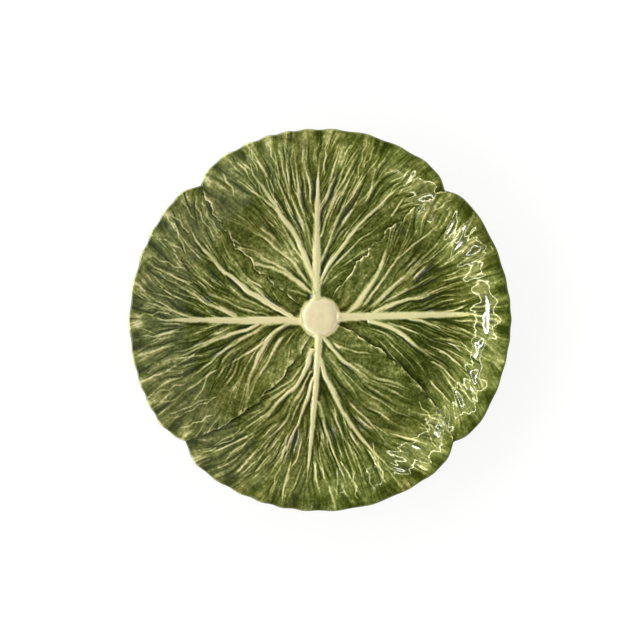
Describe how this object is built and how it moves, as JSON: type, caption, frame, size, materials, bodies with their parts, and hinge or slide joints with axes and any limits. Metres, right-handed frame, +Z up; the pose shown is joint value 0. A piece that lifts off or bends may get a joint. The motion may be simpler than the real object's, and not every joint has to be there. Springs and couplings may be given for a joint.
{
  "type": "salad plate",
  "caption": "Round salad plate moulded as overlapping cabbage leaves with raised cream ribs round a cut stalk, green glaze, lobed rim, foot ring.",
  "frame": {"origin": "on the table, under the middle of the plate", "axes": "+Z up, out of the well; +Y towards the middle of the back leaf, the one at the top of the picture; +X towards the middle of the right leaf"},
  "size_m": [0.1999, 0.1999, 0.0227],
  "materials": {
    "green_glaze": "glossy transparent green glaze that pools dark in the grooves",
    "cream_glaze": "glossy cream glaze",
    "foot_clay": "glazed sides with an unglazed tread"
  },
  "bodies": {
    "root": {"right_leaf": "green_glaze", "back_leaf": "green_glaze", "left_leaf": "green_glaze", "front_leaf": "green_glaze", "right_ribs": "cream_glaze", "back_ribs": "cream_glaze", "left_ribs": "cream_glaze", "front_ribs": "cream_glaze", "stalk": "cream_glaze", "foot_ring": "foot_clay"}
  },
  "joints": []
}
